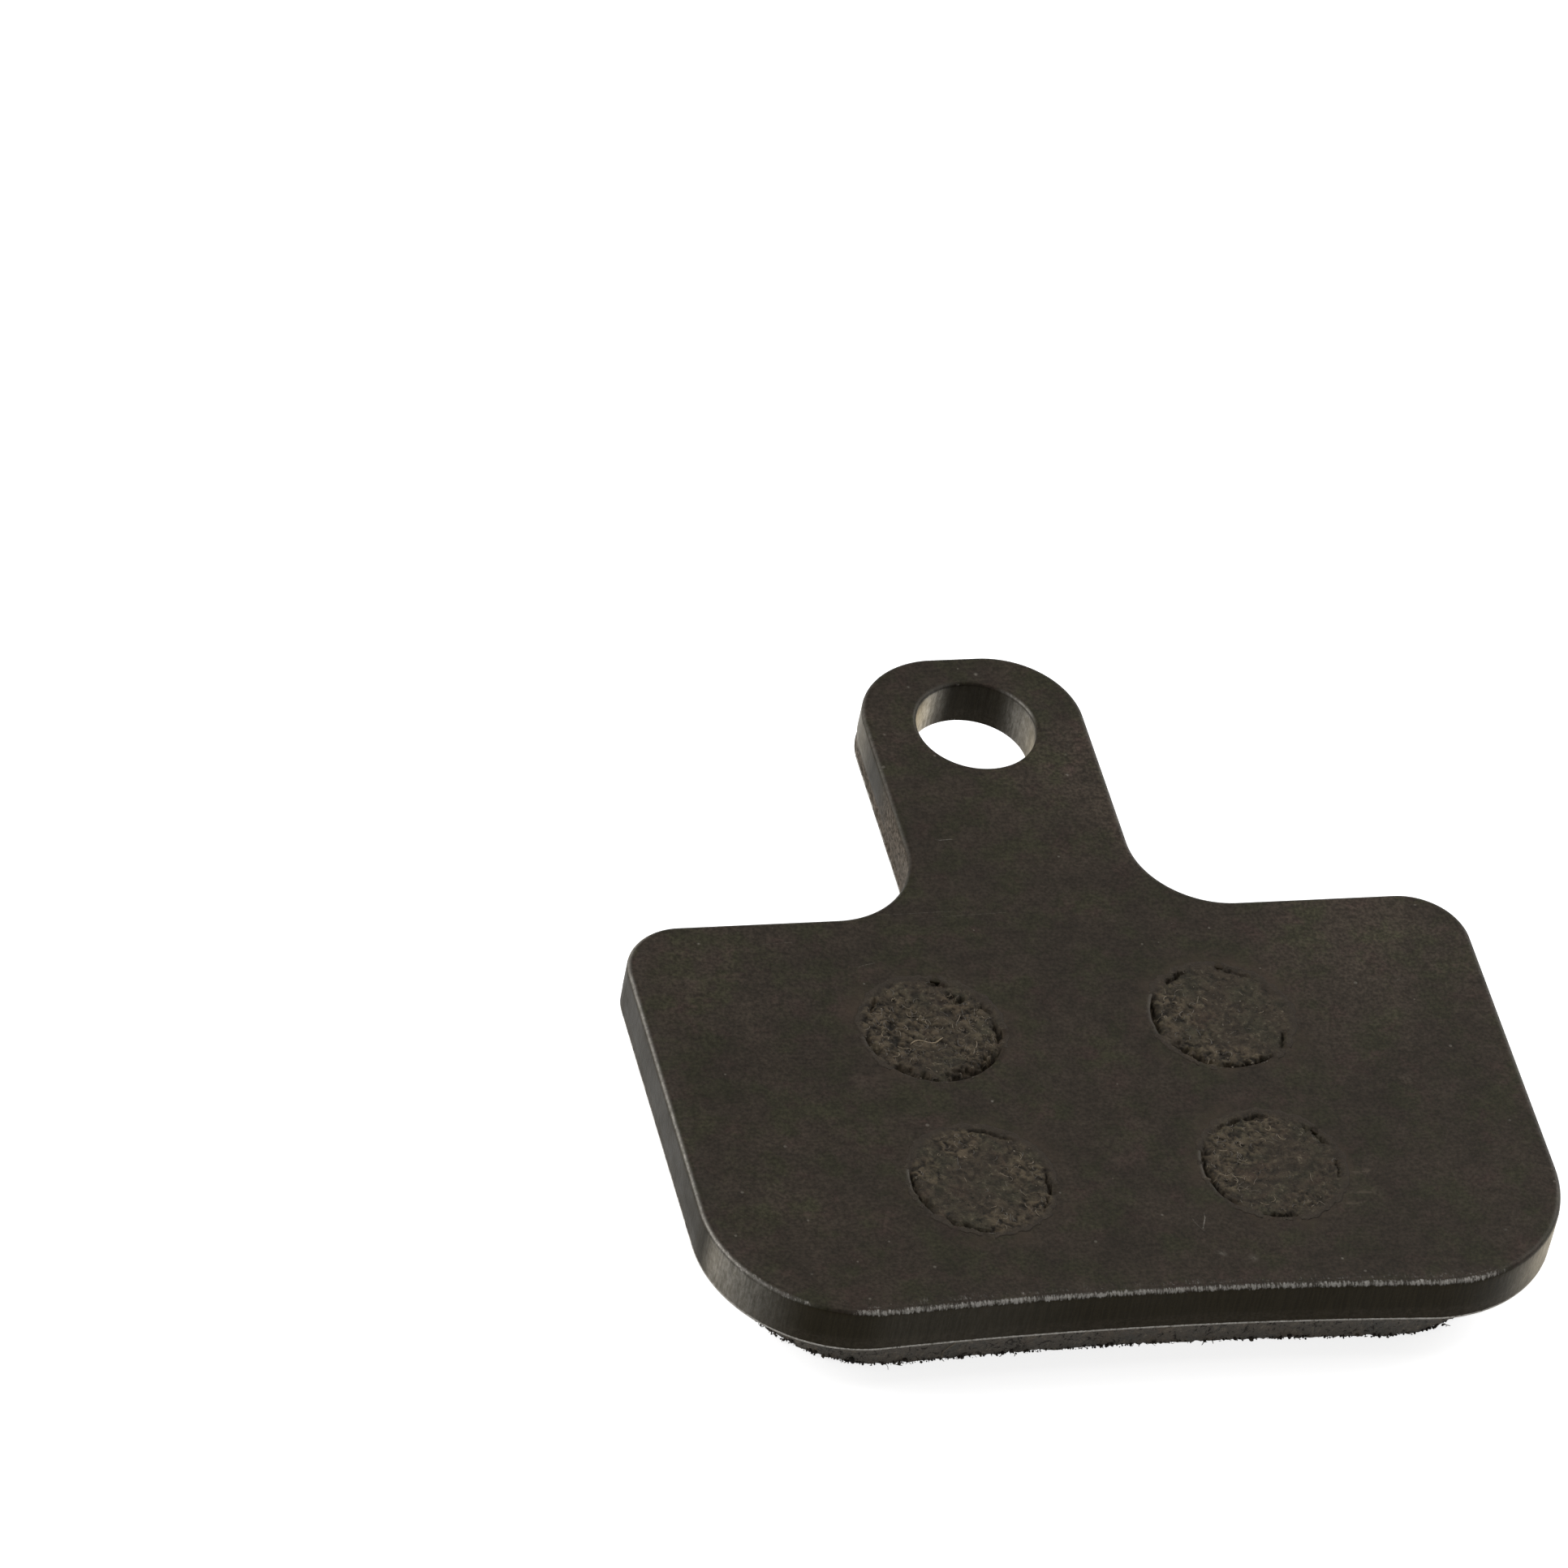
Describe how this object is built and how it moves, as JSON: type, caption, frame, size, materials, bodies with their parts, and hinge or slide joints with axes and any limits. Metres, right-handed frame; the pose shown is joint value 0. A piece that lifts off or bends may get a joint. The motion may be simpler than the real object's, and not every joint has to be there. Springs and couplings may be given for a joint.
{
  "type": "bicycle disc brake pad",
  "caption": "Flat disc brake pad: a blanked steel backing plate with a hanging tab and pin hole, and a pressed block of friction compound keyed through holes in the plate.",
  "frame": {"origin": "under the middle of the outline, in the plane of the rubbing face", "axes": "+X across the pad, +Y towards the hanging tab, +Z from the rubbing face to the plate's back face"},
  "size_m": [0.0314, 0.0324, 0.0039],
  "materials": {
    "coated_steel": "thin brown-black coating, satin, with bare steel showing at scuffed edges",
    "friction_compound": "matt, granular, with short tan fibres"
  },
  "bodies": {
    "root": {"backing_plate": "coated_steel", "friction_block": "friction_compound"}
  },
  "joints": []
}
